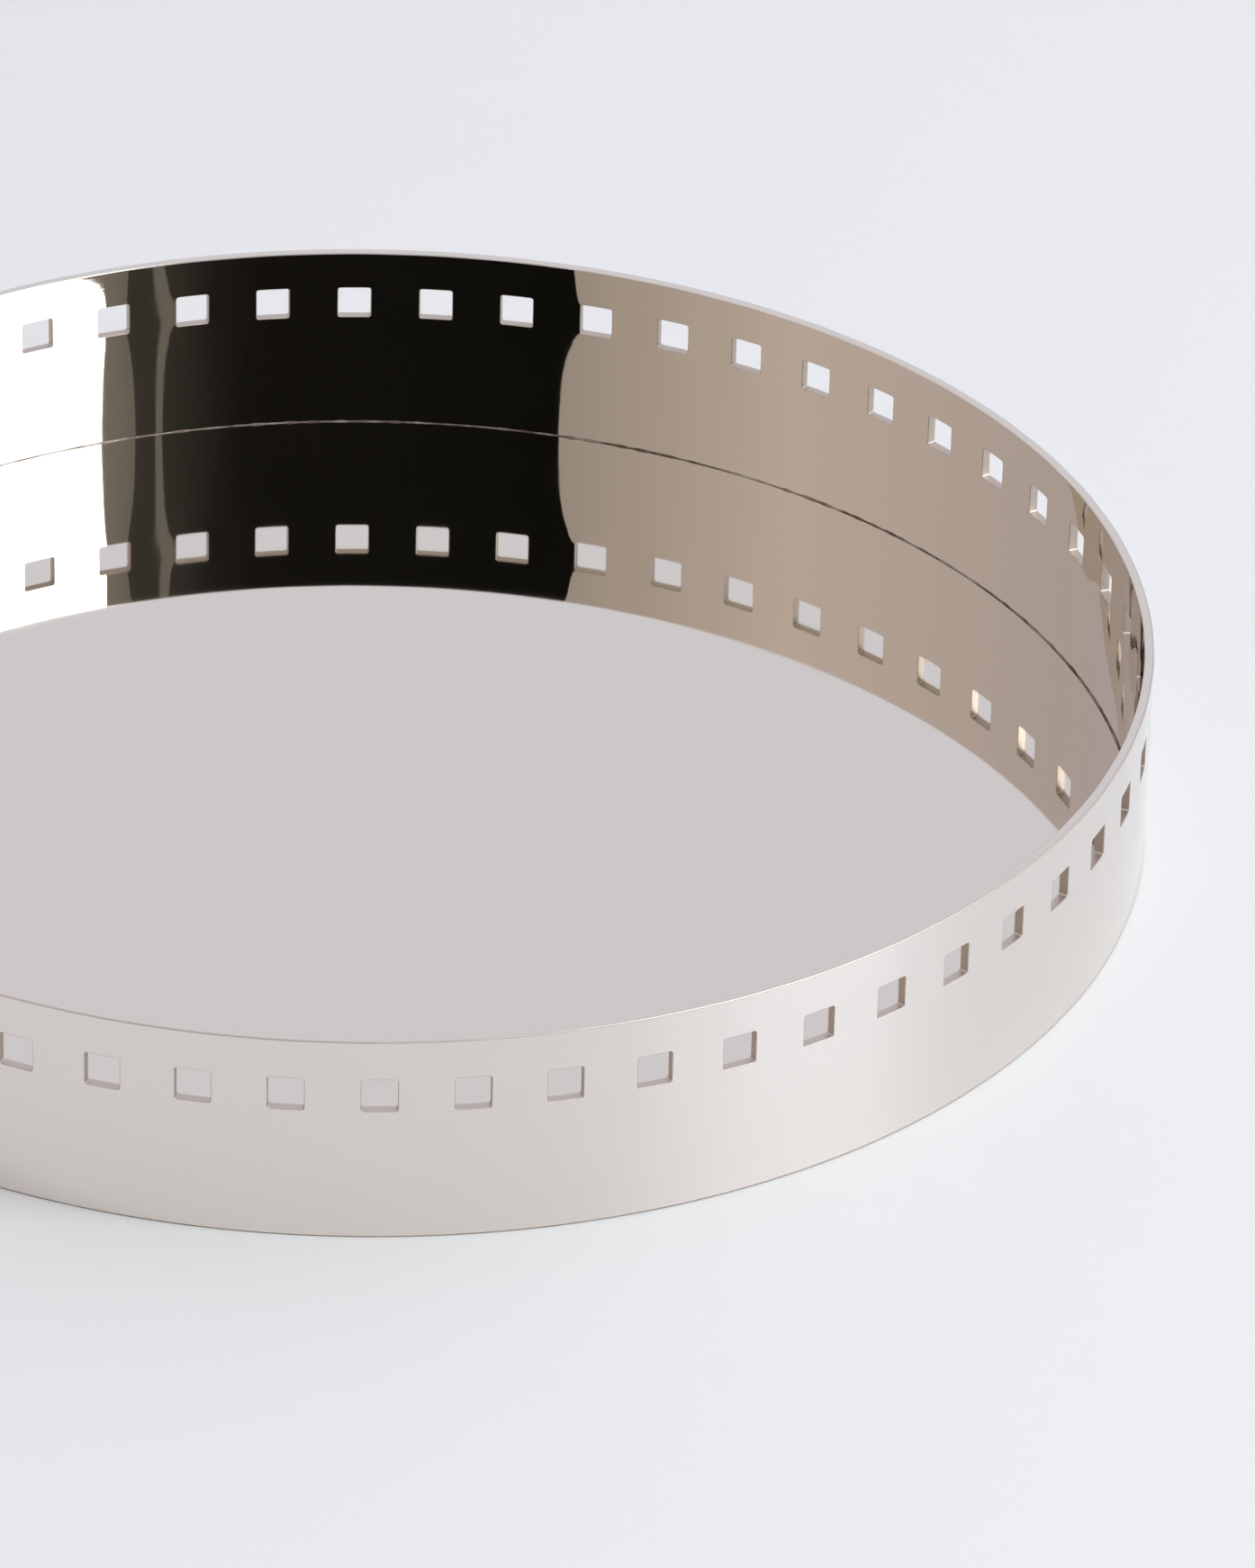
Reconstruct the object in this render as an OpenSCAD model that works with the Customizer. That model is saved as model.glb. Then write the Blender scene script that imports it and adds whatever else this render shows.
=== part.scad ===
// Round gallery tray: a flat round base brazed inside an upright band of sheet metal.
// The band carries one row of square holes near its rim. Millimetres, +Z up,
// origin at the centre of the foot, on the surface that the tray stands on.

/* [Wall band] */
// Outside diameter of the wall
outer_d = 318; // [240:2:400]
// Height of the wall, from the foot to the rim
wall_h = 44; // [40:1:60]
// Thickness of the wall's sheet
wall_t = 2; // [1.5:0.5:3]
// Radius to which the four long edges of the band are buffed
edge_r = 0.3; // [0.1:0.1:0.3]
// Width of the brazed butt joint that closes the band into a ring
joint_w = 0.2; // [0.1:0.1:0.4]

/* [Square holes] */
// Number of holes round the wall
hole_count = 56; // [8:4:64]
// Side of each square hole
hole_side = 7; // [4:0.5:9]
// Height of the row's centre line above the foot
hole_centre_z = 32; // [20:1:34]
// Radius in the corners of each hole
hole_corner_r = 0.5; // [0.2:0.1:1.5]

/* [Base disc] */
// Thickness of the base disc
base_t = 2; // [1:0.5:3]
// Gap under the base disc, so that the band alone is the foot
base_lift = 0.6; // [0.6:0.1:2]
// Radius to which the disc's two edges are broken
base_edge_r = 0.3; // [0.2:0.1:0.4]

/* [Braze] */
// Width of the filled gap between the disc and the band
braze_gap = 0.1; // [0.05:0.05:0.1]

/* [Hidden] */

outer_r = outer_d / 2;
inner_r = outer_r - wall_t;
base_r = inner_r - braze_gap;
base_top_z = base_lift + base_t;
top_fillet = base_edge_r + braze_gap;   // springs from where the disc's flat top ends
under_fillet = base_lift - edge_r;      // reaches down to where the band's foot begins to round
hole_pitch = 360 / hole_count;
joint_angle = 180;      // midway between two holes, because the row starts half a pitch off +X
arc_steps = 3;          // straight steps in each small quarter round
ring_fn = 180;
cutter_over = 2;        // how far a cutter runs past the wall on each side
nickel = [0.80, 0.77, 0.72];
braze_metal = [0.86, 0.83, 0.76];

// Points of a quarter arc of radius r about centre, from start_angle, counter-clockwise.
function quarter_arc(centre, r, start_angle) =
    [for (i = [0:arc_steps])
        let (a = start_angle + 90 * i / arc_steps)
        centre + r * [cos(a), sin(a)]];

// Outline of a rectangle from low to high, with all four corners rounded to r.
function rounded_rectangle(low, high, r) = concat(
    quarter_arc([high.x - r, high.y - r], r, 0),
    quarter_arc([low.x + r, high.y - r], r, 90),
    quarter_arc([low.x + r, low.y + r], r, 180),
    quarter_arc([high.x - r, low.y + r], r, 270));

// The band as a closed ring, before the holes and the joint are cut.
module plain_ring() {
    rotate_extrude($fn = ring_fn)
        polygon(rounded_rectangle([inner_r, 0], [outer_r, wall_h], edge_r));
}

// One square cutter, lying along +X through the wall.
module hole_cutter() {
    translate([inner_r - cutter_over, 0, hole_centre_z])
        rotate([90, 0, 90])
            linear_extrude(height = wall_t + 2 * cutter_over)
                polygon(rounded_rectangle(
                    [-hole_side / 2, -hole_side / 2], [hole_side / 2, hole_side / 2], hole_corner_r));
}

// The thin upright slab that the butt joint takes out of the ring.
module joint_slab() {
    rotate([0, 0, joint_angle])
        translate([inner_r - cutter_over, -joint_w / 2, -cutter_over])
            cube([wall_t + 2 * cutter_over, joint_w, wall_h + 2 * cutter_over]);
}

// Upright band: one strip of sheet, pierced, rolled into a ring and butt-jointed.
module wall_band() {
    color(nickel)
        difference() {
            plain_ring();
            for (i = [0:hole_count - 1])
                rotate([0, 0, (i + 0.5) * hole_pitch])
                    hole_cutter();
            joint_slab();
        }
}

// Braze that fills the butt joint, dressed flush with the band on every side.
module band_joint() {
    color(braze_metal)
        intersection() {
            plain_ring();
            joint_slab();
        }
}

// Edge of the base disc in section, from its underside round to its top face.
disc_edge = concat(
    quarter_arc([base_r - base_edge_r, base_lift + base_edge_r], base_edge_r, 270),
    quarter_arc([base_r - base_edge_r, base_top_z - base_edge_r], base_edge_r, 0));

// Flat round plate, held inside the band just clear of the surface below.
module base_disc() {
    color(nickel)
        rotate_extrude($fn = ring_fn)
            polygon(concat([[0, base_lift]], disc_edge, [[0, base_top_z]]));
}

// Braze ring: a web that fills the gap round the disc, with a hollow fillet above and below.
module base_braze() {
    color(braze_metal)
        rotate_extrude($fn = ring_fn)
            polygon(concat(
                quarter_arc([inner_r - top_fillet, base_top_z + top_fillet], top_fillet, 270),
                quarter_arc([inner_r - under_fillet, base_lift - under_fillet], under_fillet, 0),
                disc_edge));
}

wall_band();
base_disc();
base_braze();
band_joint();
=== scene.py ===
import math
import bpy
import numpy as np
from mathutils import Matrix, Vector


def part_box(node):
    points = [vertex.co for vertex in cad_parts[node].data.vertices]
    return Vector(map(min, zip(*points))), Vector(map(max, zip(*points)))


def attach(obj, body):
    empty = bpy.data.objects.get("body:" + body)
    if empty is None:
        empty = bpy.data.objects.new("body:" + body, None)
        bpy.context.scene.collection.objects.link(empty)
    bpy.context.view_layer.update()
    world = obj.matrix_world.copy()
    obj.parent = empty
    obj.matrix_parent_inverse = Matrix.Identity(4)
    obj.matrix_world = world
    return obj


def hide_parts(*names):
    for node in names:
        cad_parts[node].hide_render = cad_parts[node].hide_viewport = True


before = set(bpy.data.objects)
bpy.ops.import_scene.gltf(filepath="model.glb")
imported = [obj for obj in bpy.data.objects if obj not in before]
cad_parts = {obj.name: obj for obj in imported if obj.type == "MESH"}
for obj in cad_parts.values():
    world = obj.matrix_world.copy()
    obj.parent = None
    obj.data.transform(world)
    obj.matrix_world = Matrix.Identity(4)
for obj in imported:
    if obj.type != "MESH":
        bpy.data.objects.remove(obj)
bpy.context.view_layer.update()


# ---------------------------------------------------------------------------------------------
# Camera: a long lens about two metres off, looking down on the tray at 31 degrees. It is aimed
# to the right of the tray's middle, so that the left edge of the picture cuts the tray off.
LENS, SENSOR = 232.0, 36.0            # mm; the sensor's long side is the picture's height
CAMERA_DISTANCE = 2.064               # m, from the centre of the tray's foot
CAMERA_AZIMUTH = math.radians(1.98)
CAMERA_ELEVATION = math.radians(31.18)
AIM_AZIMUTH = math.radians(0.244)     # the direction the lens points in, which isn't at the centre
AIM_ELEVATION = math.radians(-31.03)
CAMERA_ROLL = math.radians(1.51)

camera = bpy.data.objects.new("camera", bpy.data.cameras.new("camera"))
bpy.context.scene.collection.objects.link(camera)
camera.data.lens, camera.data.sensor_width = LENS, SENSOR
camera.data.clip_start, camera.data.clip_end = 0.1, 50
camera.matrix_world = (
    Matrix.Rotation(CAMERA_AZIMUTH, 4, "Z")
    @ Matrix.Rotation(-CAMERA_ELEVATION, 4, "X")
    @ Matrix.Translation((0, -CAMERA_DISTANCE, 0))
)
camera.matrix_world = (
    Matrix.Translation(camera.matrix_world.translation)
    @ Matrix.Rotation(AIM_AZIMUTH, 4, "Z")
    @ Matrix.Rotation(math.pi / 2 + AIM_ELEVATION, 4, "X")
    @ Matrix.Rotation(CAMERA_ROLL, 4, "Z")
)
bpy.context.scene.camera = camera
bpy.context.scene.view_settings.view_transform = "Standard"


# ---------------------------------------------------------------------------------------------
# Wall band: one strip of brass sheet, punched with square holes, rolled into a ring and nickel
# plated. Buffing eases every edge. The rolls bend it at the holes, where it is weakest, so each
# bridge between two holes is flatter than a true circle, and no two bridges are quite alike.
MM = 0.001
OUTER_R, WALL_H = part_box("wall_band")[1].x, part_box("wall_band")[1].z
INNER_R = -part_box("band_joint")[1].x
JOINT_HALF_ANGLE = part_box("band_joint")[1].y / INNER_R
SHEET = OUTER_R - INNER_R
HOLE_COUNT = 56
PITCH = 2 * math.pi / HOLE_COUNT
HOLE_SIDE, HOLE_Z, HOLE_CORNER = 7 * MM, 32 * MM, 0.5 * MM
EDGE_R = 0.3 * MM                     # the rim's and the foot's edges
HOLE_EDGE_R = 0.15 * MM               # the holes' edges
EASE = 0.02 * MM                      # how much the wheel thins each face at the rim and the foot
EASE_REACH = 2.5 * MM
HOLE_EASE = 0.006 * MM                # and round each hole
HOLE_EASE_REACH = 0.8 * MM
FLAT_REACH = 10.5 * MM                # how far below the row of holes the flats have halved
ERROR_REACH = 6.5 * MM                # and how far the differences between the holes have
RIM_REACH = 15 * MM                   # and how far both have above it, where the rim is free
FLATNESS = 0.8                        # the part of the curve that a bridge has lost
FLAT_DEPTH = 2 * FLATNESS * OUTER_R / HOLE_COUNT**2
HOLE_SPREAD = 0.05 * MM               # from the hole that stands furthest in to the furthest out
KNOCK = 0.085 * MM
# how far each hole stands out, and a knock that pushes it out on one side of it and in on the other
HOLE_ERROR = HOLE_SPREAD * (0.5 - np.random.default_rng(7).random(HOLE_COUNT))
HOLE_ERROR[8:12] += KNOCK * np.array([0.15, 0.4, 0.7, 1])
HOLE_ERROR[12:17] -= KNOCK * np.array([1, 0.8, 0.55, 0.3, 0.1])
COLLAR_HALF_H = 6 * MM                # half the height of the patch of sheet round each hole


def fading(z, reach):
    """A bell over z, one at the row of holes and a half one reach below it, and its slope.

    It is 1 / (1 + d^2), where d is the distance from the row of holes in reaches.
    """
    reach = np.where(z < HOLE_Z, reach, RIM_REACH)
    far = (z - HOLE_Z) / reach
    bell = 1 / (1 + far**2)
    return bell, -2 * far * bell**2 / reach


def rolled(angle, z):
    """How far the sheet stands off its true circle, and the slopes of that with angle and with z.

    Along the band it is a cosine, zero at the holes and deepest half way between two, plus a smooth
    step from each hole's own error to the next one's. Both fade away from the row of holes.
    """
    place = angle / PITCH - 0.5
    hole = np.floor(place).astype(int)
    part = place - hole
    first, second = HOLE_ERROR[hole % HOLE_COUNT], HOLE_ERROR[(hole + 1) % HOLE_COUNT]
    turn = angle * HOLE_COUNT
    flat, flat_slope = fading(z, FLAT_REACH)
    error, error_slope = fading(z, ERROR_REACH)
    flat_off = -FLAT_DEPTH / 2 * (1 + np.cos(turn))
    error_off = first + (second - first) * part**2 * (3 - 2 * part)
    turn_slope = FLAT_DEPTH / 2 * HOLE_COUNT * np.sin(turn) * flat
    turn_slope = turn_slope + (second - first) * 6 * part * (1 - part) / PITCH * error
    rise_slope = flat_off * flat_slope + error_off * error_slope
    return flat_off * flat + error_off * error, turn_slope, rise_slope


def on_band(angle, radius, z, normal):
    """Points of the real band for points of a true one, given as angle, radius and z.

    The normal is given as its parts along the radius, along the band and upwards. Each face is
    thinned near the rim and the foot by an exponential, and then the whole sheet is moved in or
    out by rolled(); the normal is turned by the slopes of both.
    """
    angle = np.clip(angle, -math.pi + JOINT_HALF_ANGLE, math.pi - JOINT_HALF_ANGLE)
    face = (radius - (OUTER_R + INNER_R) / 2) / (SHEET / 2)
    flat_z = np.clip(z, EDGE_R, WALL_H - EDGE_R)
    from_foot = np.exp((EDGE_R - flat_z) / EASE_REACH)
    from_rim = np.exp((flat_z - WALL_H + EDGE_R) / EASE_REACH)
    off, turn_slope, rise_slope = rolled(angle, z)
    real = radius + off - face * EASE * (from_foot + from_rim)
    rise_slope = rise_slope - face * EASE * (from_rim - from_foot) / EASE_REACH
    out, along, up = normal
    along = along - out * turn_slope / real
    up = up - out * rise_slope
    cos, sin = np.cos(angle), np.sin(angle)
    points = np.stack([real * cos, real * sin, z + 0 * real], -1)
    normals = np.stack([out * cos - along * sin, out * sin + along * cos, up + 0 * out], -1)
    return points, normals / np.linalg.norm(normals, axis=-1, keepdims=True)


def grid_faces(rows, columns, closed=False):
    """The quads of a grid of points, row after row; closed joins each row's end to its start."""
    across = np.arange(columns if closed else columns - 1)
    start = np.arange(rows - 1)[:, None] * columns
    after = (across + 1) % columns
    corners = [start + across, start + after, start + columns + after, start + columns + across]
    return np.stack(corners, -1).reshape(-1, 4)


def quarter(count):
    """Sines and cosines of the angles of a quarter round, from 0 to 90 degrees, less the first."""
    angles = np.linspace(0, np.pi / 2, count + 1)[1:]
    return np.sin(angles), np.cos(angles)


def collars():
    """The sheet round each hole: rings from the patch's border on the inner face, in to the hole,
    through it, and out to the border on the outer face.

    A ring is the hole's rounded square moved outwards by an offset, at a depth into the sheet. The
    outermost rings blend into the border's rectangle. The cut edges are quarter rounds.
    """
    # the square's outline: ten points a side, from the middle of one corner to the next
    straight = HOLE_SIDE / 2 - HOLE_CORNER
    lean = np.radians([-45, -22.5, 0, 0, 0, 0, 0, 0, 0, 22.5])
    place = straight * np.clip(np.arange(10) / 3 - 5 / 3, -1, 1)
    quarter_turns = np.repeat(np.arange(4), 10) * np.pi / 2
    lean = np.tile(lean, 4) + quarter_turns
    centre_y = straight * np.cos(quarter_turns) - np.tile(place, 4) * np.sin(quarter_turns)
    centre_z = straight * np.sin(quarter_turns) + np.tile(place, 4) * np.cos(quarter_turns)
    side = np.tile(np.linspace(-1, 1, 11)[:-1], 4)
    which = np.repeat(np.arange(4), 10)
    border_turn = PITCH / 2 * np.choose(which, [1 + 0 * side, -side, -1 + 0 * side, side])
    border_z = COLLAR_HALF_H * np.choose(which, [side, 1 + 0 * side, -side, -1 + 0 * side])

    # the rings, as offset from the outline, depth, normal (outwards, deeper) and blend to the border
    offset = np.array([6.0, 4.2, 3.0, 1.8, 1.2, 0.75, 0.45, HOLE_EDGE_R / MM]) * MM
    blend = np.array([1, 0.67, 0.33, 0, 0, 0, 0, 0])
    eased = HOLE_EASE * np.exp((HOLE_EDGE_R - offset) / HOLE_EASE_REACH) * (1 - blend)
    lean_in = eased / HOLE_EASE_REACH
    sin, cos = quarter(3)
    cut = np.linspace(HOLE_EASE + HOLE_EDGE_R, SHEET - HOLE_EASE - HOLE_EDGE_R, 5)[1:]
    offsets = np.r_[offset, HOLE_EDGE_R * (1 - sin), 0 * cut, HOLE_EDGE_R * (1 - cos), offset[-2::-1]]
    depths = np.r_[eased, HOLE_EASE + HOLE_EDGE_R * (1 - cos), cut,
                   SHEET - HOLE_EASE - HOLE_EDGE_R * (1 - sin), SHEET - eased[-2::-1]]
    outwards = np.r_[-lean_in, -sin, 0 * cut - 1, -cos, -lean_in[-2::-1]]
    deeper = np.r_[0 * offset - 1, -cos, 0 * cut, sin, 0 * offset[1:] + 1]
    blends = np.r_[blend, 0 * sin, 0 * cut, 0 * sin, blend[-2::-1]]
    surface = np.where(deeper > 0.99, 2, np.where(deeper < -0.99, 0, 1))

    offsets, depths, outwards, deeper, blends = (
        a[None, :, None] for a in (offsets, depths, outwards, deeper, blends))
    reach = HOLE_CORNER + np.minimum(offsets, 1.8 * MM)
    y, z = centre_y + reach * np.cos(lean), centre_z + reach * np.sin(lean)
    radius = INNER_R + depths + 0 * y
    turn = (1 - blends) * np.arcsin(y / radius) + blends * border_turn
    z = HOLE_Z + (1 - blends) * z + blends * border_z
    sideways = outwards * np.cos(lean)
    normal = (deeper + sideways * np.sin(turn), sideways * np.cos(turn), outwards * np.sin(lean))
    middle = (-math.pi + PITCH * (np.arange(HOLE_COUNT) + 0.5))[:, None, None]
    angle = middle + turn
    points, normals = on_band(angle, radius, z + 0 * angle, normal)
    rings, around = turn.shape[1:]
    faces = grid_faces(rings, around, closed=True)[:, ::-1]
    slot = np.repeat(np.where(surface[:-1] == surface[1:], surface[1:], 1), around)
    faces = (faces + np.arange(HOLE_COUNT)[:, None, None] * rings * around).reshape(-1, 4)
    steps = [np.diff(a, append=a[:1]) for a in (y[0, 12], z[0, 12])]
    outline = np.cumsum(np.hypot(*steps))
    return {
        "points": points.reshape(-1, 3), "normals": normals.reshape(-1, 3), "faces": faces,
        "slot": np.tile(slot, HOLE_COUNT),
        "uv": np.stack([angle * OUTER_R, z + 0 * angle], -1).reshape(-1, 2),
        "round_hole": np.broadcast_to(outline + middle, angle.shape).reshape(-1),
    }


def edge_profile(face_z, edge_z, rows):
    """One edge of the band in section, from the inner face at face_z round to the outer face.

    Returns radius and z, and the normal's parts along the radius and upwards. The two faces are
    straight, the edge between them is flat with a quarter round on each side.
    """
    way = math.copysign(1, edge_z - face_z)
    sin, cos = quarter(4)
    down = np.linspace(face_z, edge_z - way * EDGE_R, rows)
    flat = np.linspace(INNER_R + EDGE_R, OUTER_R - EDGE_R, 4)[1:]
    radius = np.r_[0 * down + INNER_R, INNER_R + EDGE_R * (1 - cos), flat,
                   OUTER_R - EDGE_R * (1 - sin), 0 * down[1:] + OUTER_R]
    z = np.r_[down, edge_z - way * EDGE_R * (1 - sin), 0 * flat + edge_z,
              edge_z - way * EDGE_R * (1 - cos), down[-2::-1]]
    out = np.r_[0 * down - 1, -cos, 0 * flat, sin, 0 * down[1:] + 1]
    up = way * np.r_[0 * down, sin, 0 * flat + 1, cos, 0 * down[1:]]
    return radius, z, out, up


def edge_strip(angle, face_z, edge_z, rows):
    """The band's profile at one edge, carried along the given angles."""
    radius, z, out, up = edge_profile(face_z, edge_z, rows)
    surface = np.where(out == 1, 2, np.where(out > 0, 1, 0))
    slot = np.repeat(np.where(surface[:-1] == surface[1:], surface[1:], 1), len(angle) - 1)
    radius, z, out, up = (a[:, None] + 0 * angle for a in (radius, z, out, up))
    angle = angle + 0 * radius
    points, normals = on_band(angle, radius, z, (out, 0 * out, up))
    faces = grid_faces(*angle.shape)
    return {
        "points": points.reshape(-1, 3), "normals": normals.reshape(-1, 3),
        "faces": faces if edge_z < face_z else faces[:, ::-1], "slot": slot,
        "uv": np.stack([angle * OUTER_R, z], -1).reshape(-1, 2), "round_hole": angle.ravel() * OUTER_R,
    }


def band_end(angle):
    """The flat cut end of the band: its whole section at that angle, as one many-sided face."""
    middle = HOLE_Z + COLLAR_HALF_H * np.linspace(-1, 1, 11)[1:-1]
    low = edge_profile(HOLE_Z - COLLAR_HALF_H, 0, FOOT_ROWS)
    high = edge_profile(HOLE_Z + COLLAR_HALF_H, WALL_H, RIM_ROWS)
    radius = np.r_[low[0], 0 * middle + OUTER_R, high[0][::-1], 0 * middle + INNER_R]
    z = np.r_[low[1], middle, high[1][::-1], middle[::-1]]
    angle = angle + 0 * z
    points, _ = on_band(angle, radius, z, (radius, 0 * radius, 0 * radius))
    facing = np.stack([-np.sin(angle), np.cos(angle), 0 * angle], -1) * np.sign(angle)[:, None]
    return {
        "points": points, "normals": facing, "uv": np.stack([angle * OUTER_R, z], -1),
        "outline": np.arange(len(z))[:: int(-np.sign(angle[0]))],
    }


def make_piece(name, patches, ends=()):
    """One mesh object from patches of quads that share their borders, and many-sided end faces.

    Points that fall within a tenth of a micrometre of each other are made one, and a quad with two
    corners at one point becomes a triangle. The shading normals are the surface's own, so that a
    mirror finish shows the shape and not the mesh.
    """
    parts = [*patches, *ends]
    starts = np.cumsum([0] + [len(p["points"]) for p in parts])
    points = np.concatenate([p["points"] for p in parts])
    normals = np.concatenate([p["normals"] for p in parts])
    uv = np.concatenate([p["uv"] for p in parts])
    _, first, same = np.unique(np.round(points / 1e-7), axis=0, return_index=True, return_inverse=True)
    same = same.ravel()
    quads = np.concatenate([p["faces"] + s for p, s in zip(patches, starts)])
    keep = same[quads] != same[np.roll(quads, -1, axis=1)]
    whole = keep.sum(axis=1) > 2
    quads, keep = quads[whole], keep[whole]
    outlines = [e["outline"] + s for e, s in zip(ends, starts[len(patches):])]
    corners = np.concatenate([quads[keep], *outlines])
    sizes = np.r_[keep.sum(axis=1), [len(e["outline"]) for e in ends]].astype(int)
    mesh = bpy.data.meshes.new(name)
    mesh.vertices.add(len(first))
    mesh.vertices.foreach_set("co", points[first].ravel())
    mesh.loops.add(len(corners))
    mesh.loops.foreach_set("vertex_index", same[corners])
    mesh.polygons.add(len(sizes))
    mesh.polygons.foreach_set("loop_start", np.cumsum(sizes) - sizes)
    mesh.polygons.foreach_set("loop_total", sizes)
    slots = np.concatenate([p["slot"] for p in patches])[whole]
    slots = np.r_[slots, [0] * len(ends)].astype(int)
    mesh.polygons.foreach_set("material_index", slots)
    mesh.polygons.foreach_set("use_smooth", np.ones(len(sizes), bool))
    mesh.uv_layers.new(name="surface").uv.foreach_set("vector", uv[corners].ravel())
    if "round_hole" in patches[0]:
        at_ends = [np.zeros(len(e["points"])) for e in ends]
        round_hole = np.concatenate([p["round_hole"] for p in patches] + at_ends)
        attribute = mesh.attributes.new("round_hole", "FLOAT", "POINT")
        attribute.data.foreach_set("value", round_hole[first])
    mesh.update(calc_edges=True)
    mesh.validate()
    mesh.normals_split_custom_set(normals[corners].tolist())
    piece = bpy.data.objects.new(name, mesh)
    bpy.context.scene.collection.objects.link(piece)
    return piece


def srgb(code):
    """A colour written as six hex digits, turned to linear light."""
    tone = np.array([int(code[i:i + 2], 16) for i in (0, 2, 4)]) / 255
    tone = np.where(tone <= 0.04045, tone / 12.92, ((tone + 0.055) / 1.055) ** 2.4)
    return (*tone.tolist(), 1.0)


def new_material(name):
    """A material with no nodes yet."""
    material = bpy.data.materials.new(name)
    material.use_nodes = True
    material.node_tree.nodes.clear()
    return material


def add_node(material, kind, settings=None, **inputs):
    """Adds a node, with its settings. An input is a value, or another node's output to link to it.

    An underscore in an input's name stands for a space.
    """
    node = material.node_tree.nodes.new(kind)
    for key, value in (settings or {}).items():
        setattr(node, key, value)
    for key, value in inputs.items():
        socket = node.inputs[key.replace("_", " ")]
        if isinstance(value, bpy.types.NodeSocket):
            material.node_tree.links.new(value, socket)
        else:
            socket.default_value = value
    return node


def buffed_nickel(name, colour, least_haze, most_haze):
    """Nickel plate buffed to a mirror along the band: its reflections are sharp, with the faintest
    drag along the band from the wheel's hairlines, and a little cloudiness where it was wiped.

    Real hairlines are a few hundredths of a millimetre apart; these are 0.5 mm, so that they show.
    """
    material = new_material(name)
    place = add_node(material, "ShaderNodeUVMap", {"uv_map": "surface"}).outputs["UV"]
    lines = add_node(material, "ShaderNodeMapping", Vector=place,
                     Scale=(1 / (22 * MM), 1 / (0.5 * MM), 1))
    lines = add_node(material, "ShaderNodeTexNoise", Vector=lines.outputs["Vector"], Scale=1, Detail=1)
    lines = add_node(material, "ShaderNodeMapRange", Value=lines.outputs["Fac"],
                     From_Min=0.58, From_Max=0.75)
    cloud = add_node(material, "ShaderNodeMapping", Vector=place,
                     Scale=(1 / (45 * MM), 1 / (20 * MM), 1))
    cloud = add_node(material, "ShaderNodeTexNoise", Vector=cloud.outputs["Vector"], Scale=1, Detail=3)
    haze = add_node(material, "ShaderNodeMapRange", Value=cloud.outputs["Fac"],
                    From_Min=0.35, From_Max=0.7, To_Min=least_haze, To_Max=most_haze)
    bump = add_node(material, "ShaderNodeBump", Height=lines.outputs["Result"],
                    Strength=1, Distance=0.0004 * MM)
    shader = add_node(material, "ShaderNodeBsdfPrincipled", Base_Color=srgb(colour), Metallic=1.0,
                      Roughness=haze.outputs["Result"], Normal=bump.outputs["Normal"])
    add_node(material, "ShaderNodeOutputMaterial", Surface=shader.outputs["BSDF"])
    return material


def punched_nickel():
    """Nickel plate over the punched faces of the holes, where the wheel hardly reaches: satin, with
    fine score lines straight through the sheet."""
    material = new_material("nickel_plate_over_punched_edge")
    place = add_node(material, "ShaderNodeAttribute", {"attribute_name": "round_hole"}).outputs["Fac"]
    lines = add_node(material, "ShaderNodeTexNoise", {"noise_dimensions": "1D"},
                     W=place, Scale=1 / (0.35 * MM), Detail=3)
    bump = add_node(material, "ShaderNodeBump", Height=lines.outputs["Fac"],
                    Strength=1, Distance=0.03 * MM)
    shader = add_node(material, "ShaderNodeBsdfPrincipled", Base_Color=srgb("C2B6A9"), Metallic=1.0,
                      Roughness=0.45, Normal=bump.outputs["Normal"])
    add_node(material, "ShaderNodeOutputMaterial", Surface=shader.outputs["BSDF"])
    return material


FOOT_ROWS, RIM_ROWS = 17, 6
columns = np.linspace(-math.pi, math.pi, 10 * HOLE_COUNT + 1)
wall = make_piece(
    "wall",
    [collars(),
     edge_strip(columns, HOLE_Z - COLLAR_HALF_H, 0, FOOT_ROWS),
     edge_strip(columns, HOLE_Z + COLLAR_HALF_H, WALL_H, RIM_ROWS)],
    [band_end(-math.pi), band_end(math.pi)],
)
# the inside was buffed hardest; the outside is handled more, so it is a softer mirror. Its paler colour
# is painted sheen, standing in for the table's sheen that the outer face mirrors.
wall.data.materials.append(buffed_nickel("nickel_plate_buffed_inside", "D5CDC0", 0.01, 0.03))
wall.data.materials.append(punched_nickel())
wall.data.materials.append(buffed_nickel("nickel_plate_buffed_outside_painted_sheen", "E6DFD9", 0.06, 0.10))
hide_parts("wall_band")
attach(wall, "root")


# ---------------------------------------------------------------------------------------------
# Base disc: a round plate of the same sheet, set inside the band just above its foot. It is
# polished flat, so it mirrors the wall almost without fault.
BASE_LOW, BASE_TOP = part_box("base_disc")[0].z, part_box("base_disc")[1].z
BRAZE_GAP = 0.1 * MM
BASE_R = INNER_R - BRAZE_GAP
BASE_EDGE_R = 0.3 * MM
BASE_RINGS, BASE_COLUMNS = 41, 240
BASE_WAVE = 0.004 * MM
# each wave's cycles a metre along x and along y, and its phase
BASE_WAVES = [(3.1, 1.2, 0.4), (-2.2, 2.6, 1.9), (1.4, -3.4, 4.1), (4.6, 2.9, 2.7)]


def disc_profile():
    """The disc in section, from the middle of its underside round to the middle of its top."""
    sin, cos = quarter(3)
    inner = np.linspace(0, BASE_R - BASE_EDGE_R, BASE_RINGS)
    radius = np.r_[inner, BASE_R - BASE_EDGE_R * (1 - sin), BASE_R,
                   BASE_R - BASE_EDGE_R * (1 - cos), inner[-2::-1]]
    z = np.r_[0 * inner + BASE_LOW, BASE_LOW + BASE_EDGE_R * (1 - cos), BASE_TOP - BASE_EDGE_R,
              BASE_TOP - BASE_EDGE_R * (1 - sin), 0 * inner[1:] + BASE_TOP]
    out = np.r_[0 * inner, sin, 1, cos, 0 * inner[1:]]
    up = np.r_[0 * inner - 1, -cos, 0, sin, 0 * inner[1:] + 1]
    return radius, z, out, up


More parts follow.
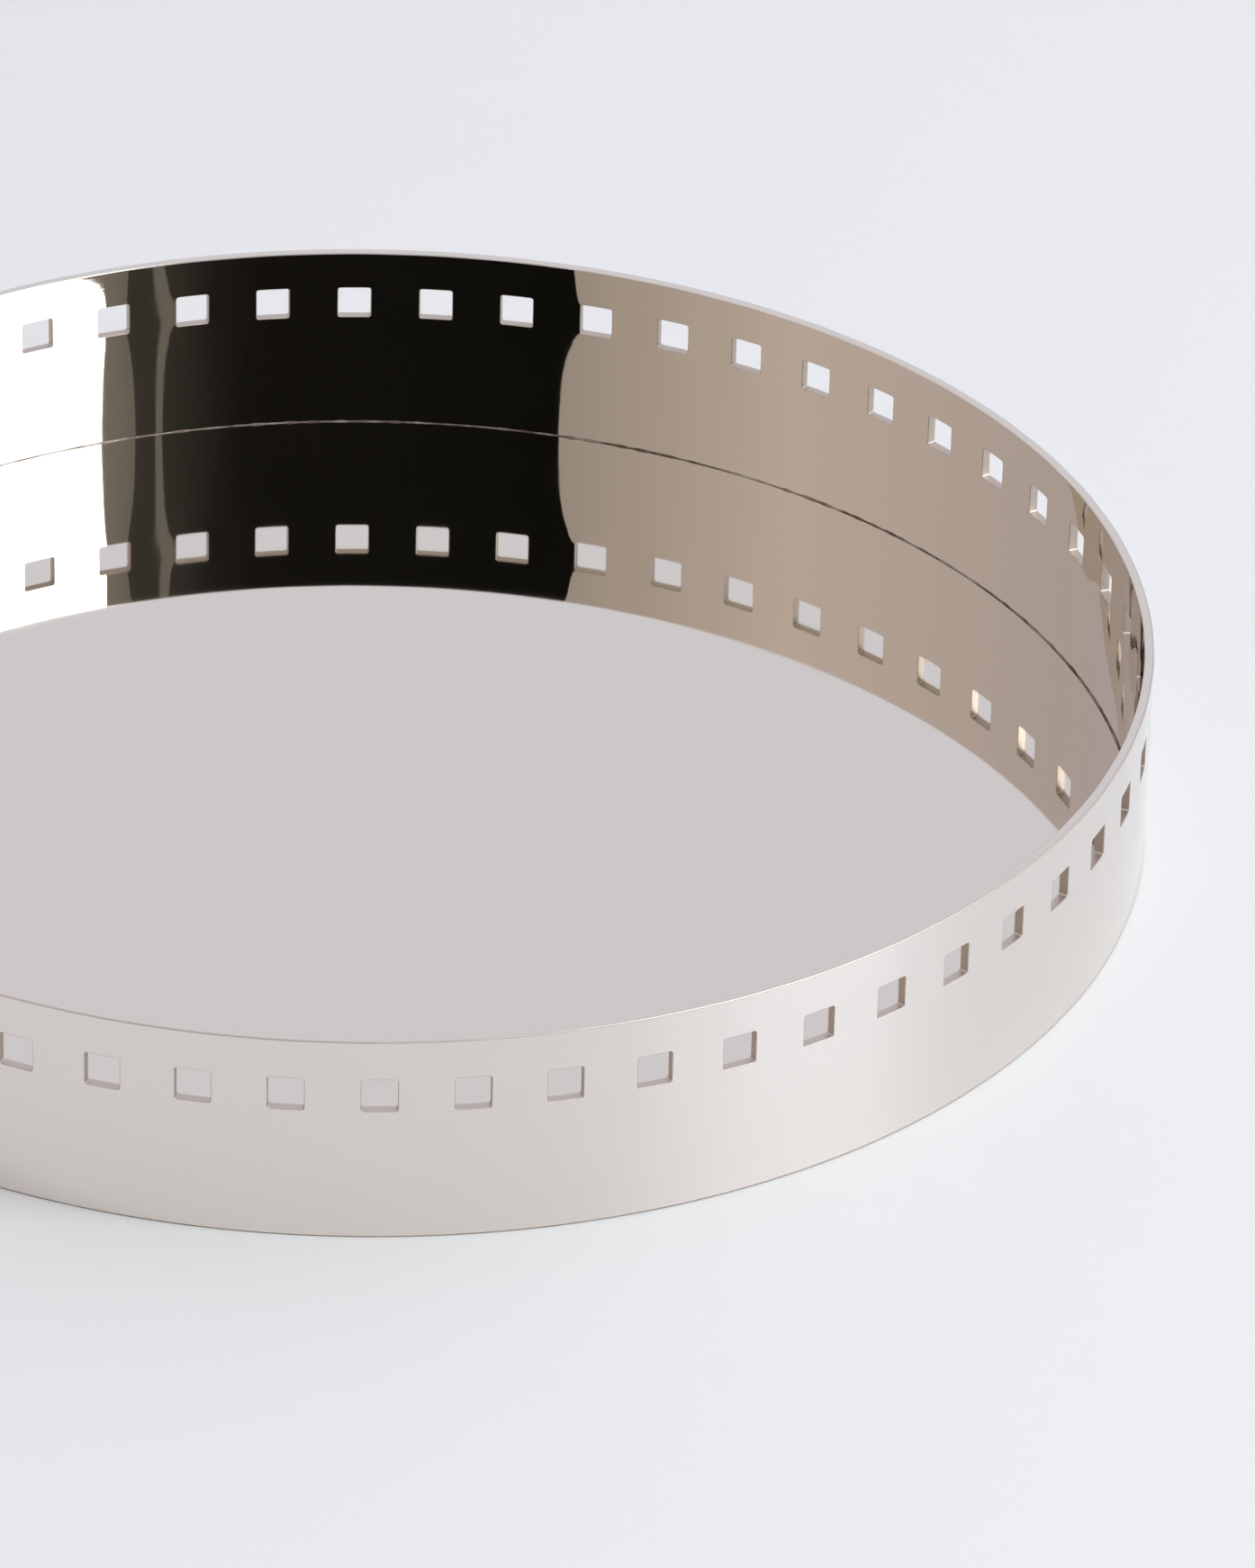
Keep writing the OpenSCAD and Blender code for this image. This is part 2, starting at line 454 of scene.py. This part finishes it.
def disc_patch():
    """The disc's profile turned about the axis, and lifted by a sum of long low waves."""
    radius, z, out, up = (a[:, None] for a in disc_profile())
    angle = np.linspace(0, 2 * np.pi, BASE_COLUMNS + 1)[:-1]
    x, y = radius * np.cos(angle), radius * np.sin(angle)
    height, slope_x, slope_y = 0, 0, 0
    for across, along, shift in BASE_WAVES:
        phase = 2 * np.pi * (across * x + along * y) + shift
        height = height + BASE_WAVE * np.sin(phase)
        slope_x = slope_x + 2 * np.pi * across * BASE_WAVE * np.cos(phase)
        slope_y = slope_y + 2 * np.pi * along * BASE_WAVE * np.cos(phase)
    points = np.stack([x, y, z + height - BASE_WAVE * len(BASE_WAVES)], -1)
    normals = np.stack([
        out * np.cos(angle) - up * slope_x, out * np.sin(angle) - up * slope_y, up + 0 * x], -1)
    normals /= np.linalg.norm(normals, axis=-1, keepdims=True)
    faces = grid_faces(*x.shape, closed=True)
    return {"points": points.reshape(-1, 3), "normals": normals.reshape(-1, 3), "faces": faces,
            "slot": np.zeros(len(faces), int), "uv": np.stack([x, y], -1).reshape(-1, 2)}


def lapped_nickel():
    """Nickel plate on a disc polished flat: a near-perfect mirror, with the faintest straight grain
    left by the polishing belt, and a little cloudiness. The grain is drawn 0.6 mm wide, to show."""
    material = new_material("nickel_plate_lapped")
    place = add_node(material, "ShaderNodeUVMap", {"uv_map": "surface"}).outputs["UV"]
    lines = add_node(material, "ShaderNodeMapping", Vector=place,
                     Scale=(1 / (14 * MM), 1 / (0.6 * MM), 1))
    lines = add_node(material, "ShaderNodeTexNoise", Vector=lines.outputs["Vector"], Scale=1, Detail=2)
    cloud = add_node(material, "ShaderNodeTexNoise", Vector=place, Scale=1 / (40 * MM), Detail=3)
    haze = add_node(material, "ShaderNodeMapRange", Value=cloud.outputs["Fac"],
                    From_Min=0.35, From_Max=0.7, To_Min=0.02, To_Max=0.04)
    bump = add_node(material, "ShaderNodeBump", Height=lines.outputs["Fac"],
                    Strength=1, Distance=0.0001 * MM)
    shader = add_node(material, "ShaderNodeBsdfPrincipled", Base_Color=srgb("D5CDC0"), Metallic=1.0,
                      Roughness=haze.outputs["Result"], Normal=bump.outputs["Normal"])
    add_node(material, "ShaderNodeOutputMaterial", Surface=shader.outputs["BSDF"])
    return material


base = make_piece("base", [disc_patch()])
base.data.materials.append(lapped_nickel())
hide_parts("base_disc")
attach(base, "root")


# ---------------------------------------------------------------------------------------------
# Base braze: the filler metal drawn into the corner between the disc and the band. It is plated with
# the rest, but the wheel can't reach it, so it stays dull, lumpy and stained with polish, and its
# colour is darkened as painted shade of the corner.
BRAZE_LOW, BRAZE_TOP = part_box("base_braze")[0].z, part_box("base_braze")[1].z
FILLET = BRAZE_TOP - BASE_TOP
UNDER_FILLET = BASE_LOW - BRAZE_LOW
BRAZE_COLUMNS = 1440
LUMP_WAVES = 40


def lumps(angle, seed, waves):
    """A smooth random value round the ring, from 0 to 1: a sum of sines of whole wave counts."""
    random = np.random.default_rng(seed)
    count = random.integers(3, waves, LUMP_WAVES)
    shifts = random.uniform(0, 6.28, LUMP_WAVES)
    total = sum(np.sin(n * angle + shift) for n, shift in zip(count, shifts))
    return np.clip(0.5 + total / 14, 0, 1)


def braze_patch():
    """The braze's closed section, carried round the ring, with a hollow fillet above and below.

    Each hollow is a quarter round. The size of the one above varies with the square of lumps(), so
    that it is mostly small, and large in a few places.
    """
    angle = np.linspace(0, 2 * np.pi, BRAZE_COLUMNS + 1)[:-1]
    size = FILLET * (0.45 + 0.55 * lumps(angle, 5, 260) ** 2)
    sin, cos = quarter(5)
    sin, cos = np.r_[0, sin][:, None], np.r_[1, cos][:, None]
    level = 0 * angle
    above = np.maximum(INNER_R - size * (1 - cos), BASE_R - BASE_EDGE_R)
    below = INNER_R - UNDER_FILLET * (1 - cos[::-1]) + level
    beside = np.array([[BASE_R], [BASE_R]]) + level
    behind = np.array([[INNER_R], [INNER_R]]) + level
    radius = np.concatenate([above, beside, below, behind])
    z = np.concatenate([
        BASE_TOP + size * (1 - sin),
        np.array([[BASE_TOP - BASE_EDGE_R], [BASE_LOW + BASE_EDGE_R]]) + level,
        BASE_LOW - UNDER_FILLET * (1 - sin[::-1]) + level, [BRAZE_LOW + level, BASE_TOP + size]])
    out = np.concatenate([-cos, [[-1], [-1]], -cos[::-1], [[1], [1]]]) + level
    up = np.concatenate([sin, [[0], [0]], -sin[::-1], [[0], [0]]]) + level
    normals = np.stack([out * np.cos(angle), out * np.sin(angle), up], -1)
    points = np.stack([radius * np.cos(angle), radius * np.sin(angle), z], -1)
    faces = grid_faces(*z.shape, closed=True)
    uv = np.stack([angle * INNER_R + 0 * z, z], -1)
    return {"points": points.reshape(-1, 3), "normals": normals.reshape(-1, 3), "faces": faces,
            "slot": np.zeros(len(faces), int), "uv": uv.reshape(-1, 2)}


def dull_braze():
    """Plated braze that was never buffed: a rough grey metal, browner and darker in patches where dried
    polish has stayed in the corner. Both colours are also darkened as painted shade of the corner."""
    material = new_material("nickel_plate_over_braze")
    place = add_node(material, "ShaderNodeUVMap", {"uv_map": "surface"}).outputs["UV"]
    stain_and_shade = add_node(material, "ShaderNodeTexNoise", Vector=place,
                     Scale=1 / (9 * MM), Detail=5, Roughness=0.65)
    stain_and_shade = add_node(material, "ShaderNodeMapRange", Value=stain_and_shade.outputs["Fac"],
                     From_Min=0.42, From_Max=0.64)
    # dark brown where dried polish stains, grey elsewhere; both colours are also darkened as painted
    # shade of the corner
    colour = add_node(material, "ShaderNodeMix", {"data_type": "RGBA"}, Factor=stain_and_shade.outputs["Result"])
    colour.inputs[6].default_value = srgb("625346")
    colour.inputs[7].default_value = srgb("A59C90")
    shader = add_node(material, "ShaderNodeBsdfPrincipled", Base_Color=colour.outputs[2], Metallic=1.0,
                      Roughness=0.4)
    add_node(material, "ShaderNodeOutputMaterial", Surface=shader.outputs["BSDF"])
    return material


braze = make_piece("braze", [braze_patch()])
braze.data.materials.append(dull_braze())
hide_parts("base_braze")
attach(braze, "root")


# ---------------------------------------------------------------------------------------------
# Butt joint: the thin seam of filler between the band's two ends. It is ground flush and buffed
# with the band, so only a hairline of slightly rougher metal is left.
SEAM_COLUMNS = 7


def seam_patch():
    """The band's whole section, closed on itself, carried across the seam, and its two ends."""
    section = band_end(math.pi)["points"]
    section = np.concatenate([section, section[:1]])
    radius, z = -section[:, 0], section[:, 2]
    turn = np.linspace(-1, 1, SEAM_COLUMNS)[:, None] * JOINT_HALF_ANGLE
    points = np.stack([-radius * np.cos(turn), radius * np.sin(turn), z + 0 * turn], -1)
    out, up = np.gradient(z), -np.gradient(radius)
    length = np.hypot(out, up)
    out, up = out / length, up / length
    normals = np.stack([-out * np.cos(turn), out * np.sin(turn), up + 0 * turn], -1)
    uv = np.stack([turn * OUTER_R + 0 * z, z + 0 * turn], -1)
    faces = grid_faces(*points.shape[:2])
    ends = [
        {"points": points[side, :-1], "normals": np.tile((0.0, way, 0.0), (len(z) - 1, 1)),
         "uv": uv[side, :-1], "outline": np.arange(len(z) - 1)[::way]}
        for side, way in ((0, -1), (-1, 1))]
    return {"points": points.reshape(-1, 3), "normals": normals.reshape(-1, 3), "faces": faces,
            "slot": np.zeros(len(faces), int), "uv": uv.reshape(-1, 2)}, ends


seam_side, seam_ends = seam_patch()
seam = make_piece("seam", [seam_side], seam_ends)
# ground flush and buffed with the band, but cloudier than the sheet beside it
seam.data.materials.append(buffed_nickel("nickel_plate_over_ground_seam", "D2CABF", 0.14, 0.22))
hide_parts("band_joint")
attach(seam, "root")


# ---------------------------------------------------------------------------------------------
# Stage: a pale table, and what a polished tray mirrors: a big soft light to the right and in front, a
# black drape behind the camera with a grey flat and a post beside it, and pale walls all round. Each is
# a plain card, of one colour or of a few that shade into each other.
SURROUND_R = 2.6
POST_R = 2.5                          # the post stands in front of the drape
CARD_COLUMNS, CARD_ROWS = 60, 16

# edges in degrees round from the camera to its left
LIGHT_END, LIGHT_EDGE = -82, -43
FLAT_EDGE, DRAPE_EDGE = -37, 30
POST_EDGES = -34, -33
LEFT_WALL_BRIGHTEST, LEFT_WALL_END = 70, 168
BACKDROP_EDGES = 162, 200

# edges in degrees up from the table, as pairs of an angle round and a height
STAND_LOW, LIGHT_HIGH = [(0, 12)], [(0, 62)]
LIGHT_FOOT = [(LIGHT_END, 14), (LIGHT_EDGE, 29)]
DRAPE_LOW, DRAPE_HIGH = [(0, 19)], [(0, 48)]
LEFT_WALL_LOW, LEFT_WALL_HIGH = [(0, 3)], [(0, 60)]
BACKDROP_LOW, BACKDROP_HIGH = [(0, 18)], [(0, 46)]
FRONT_WALL_LOW, FRONT_WALL_HIGH = [(0, 1)], [(0, 18)]


def surround(name, stops, low, high, strength, radius=SURROUND_R):
    """Part of a sphere round the tray, between two heights in degrees that can vary with the angle.

    Angles go round from the camera to its left. Each stop is an angle and the colour there, and the
    card glows with that colour.
    """
    turn = np.linspace(stops[0][0], stops[-1][0], CARD_COLUMNS)
    part = np.linspace(0, 1, CARD_COLUMNS) + np.zeros((CARD_ROWS, 1))
    part_up = np.linspace(0, 1, CARD_ROWS)[:, None] + np.zeros((1, CARD_COLUMNS))
    low, high = (np.interp(turn, *np.transpose(height)) for height in (low, high))
    rise = np.radians(low + (high - low) * part_up)
    facing = CAMERA_AZIMUTH - np.pi / 2 - np.radians(turn)
    inwards = -np.stack(
        [np.cos(rise) * np.cos(facing), np.cos(rise) * np.sin(facing), np.sin(rise)], -1)
    faces = grid_faces(*rise.shape)
    card = make_piece(name, [{
        "points": -radius * inwards.reshape(-1, 3), "normals": inwards.reshape(-1, 3),
        "faces": faces, "slot": np.zeros(len(faces), int),
        "uv": np.stack([part, part_up], -1).reshape(-1, 2)}])

    material = new_material(name)
    place = add_node(material, "ShaderNodeUVMap", {"uv_map": "surface"}).outputs["UV"]
    place = add_node(material, "ShaderNodeSeparateXYZ", Vector=place).outputs
    ramp = add_node(material, "ShaderNodeValToRGB", Fac=place["X"])
    first, last = stops[0][0], stops[-1][0]
    elements = ramp.color_ramp.elements
    elements[0].position, elements[0].color = 0, srgb(stops[0][1])
    elements[1].position, elements[1].color = 1, srgb(stops[-1][1])
    for number, code in stops[1:-1]:
        elements.new((number - first) / (last - first)).color = srgb(code)
    glow = add_node(material, "ShaderNodeEmission", Color=ramp.outputs["Color"], Strength=strength)
    add_node(material, "ShaderNodeOutputMaterial", Surface=glow.outputs["Emission"])
    card.data.materials.append(material)
    card.visible_camera = False


surround("softbox", [(LIGHT_END, "ECF3FF"), (LIGHT_EDGE, "ECF3FF")], LIGHT_FOOT, LIGHT_HIGH, 8.0)
surround("softbox_stand", [(LIGHT_END, "606060"), (LIGHT_EDGE, "A0A0A0")], STAND_LOW, LIGHT_FOOT, 1.0)
surround("flat", [(LIGHT_EDGE, "A0A0A0"), (FLAT_EDGE, "909090")], DRAPE_LOW, DRAPE_HIGH, 1.0)
surround("post", [(edge, "909090") for edge in POST_EDGES], DRAPE_LOW, DRAPE_HIGH, 1.0, POST_R)
# the drape catches a little of the light beside the flat, and is darker from there on
surround("drape", [(FLAT_EDGE, "505050"), (-20, "202020"), (DRAPE_EDGE, "181818")],
         DRAPE_LOW, DRAPE_HIGH, 1.0)
surround("left_wall",
         [(DRAPE_EDGE, "D0CCD0"), (LEFT_WALL_BRIGHTEST, "FAF4FC"), (LEFT_WALL_END, "D8D4E4")],
         LEFT_WALL_LOW, LEFT_WALL_HIGH, 1.06)
surround("backdrop", [(edge, "EAECFC") for edge in BACKDROP_EDGES], BACKDROP_LOW, BACKDROP_HIGH, 1.1)
surround("front_wall", [(LIGHT_EDGE, "E4ECFF"), (DRAPE_EDGE, "E4ECFF")],
         FRONT_WALL_LOW, FRONT_WALL_HIGH, 1.6)

TABLE_HALF = 8                        # m
TABLE_DROP = 0.05 * MM                # below the tray's foot, so that the two don't share a plane
TABLE_CLOUD = 0.12                    # m, from one cloudy patch to the next

floor = make_piece("table", [{
    "points": TABLE_HALF * np.array([(-1, -1, 0), (1, -1, 0), (1, 1, 0), (-1, 1, 0)], float)
    - (0, 0, TABLE_DROP),
    "normals": np.tile((0.0, 0, 1), (4, 1)), "faces": np.array([[0, 1, 2, 3]]),
    "slot": np.zeros(1, int),
    "uv": np.array([(0, 0), (1, 0), (1, 1), (0, 1)], float)}])
# white laminate, pressed against a fine cloth: an even satin with a faint cloudiness
laminate = new_material("white_laminate")
place = add_node(laminate, "ShaderNodeUVMap", {"uv_map": "surface"}).outputs["UV"]
cloud = add_node(laminate, "ShaderNodeTexNoise", Vector=place,
                 Scale=2 * TABLE_HALF / TABLE_CLOUD, Detail=3)
cloud = add_node(laminate, "ShaderNodeMapRange", Value=cloud.outputs["Fac"], To_Min=0.40, To_Max=0.50)
shader = add_node(laminate, "ShaderNodeBsdfPrincipled", Base_Color=srgb("D5D3CB"),
                  Roughness=cloud.outputs["Result"])
add_node(laminate, "ShaderNodeOutputMaterial", Surface=shader.outputs["BSDF"])
floor.data.materials.append(laminate)

world = bpy.data.worlds.new("studio")
bpy.context.scene.world = world
world.use_nodes = True
world.node_tree.nodes["Background"].inputs["Color"].default_value = srgb("EBEEFF")
world.node_tree.nodes["Background"].inputs["Strength"].default_value = 1.08
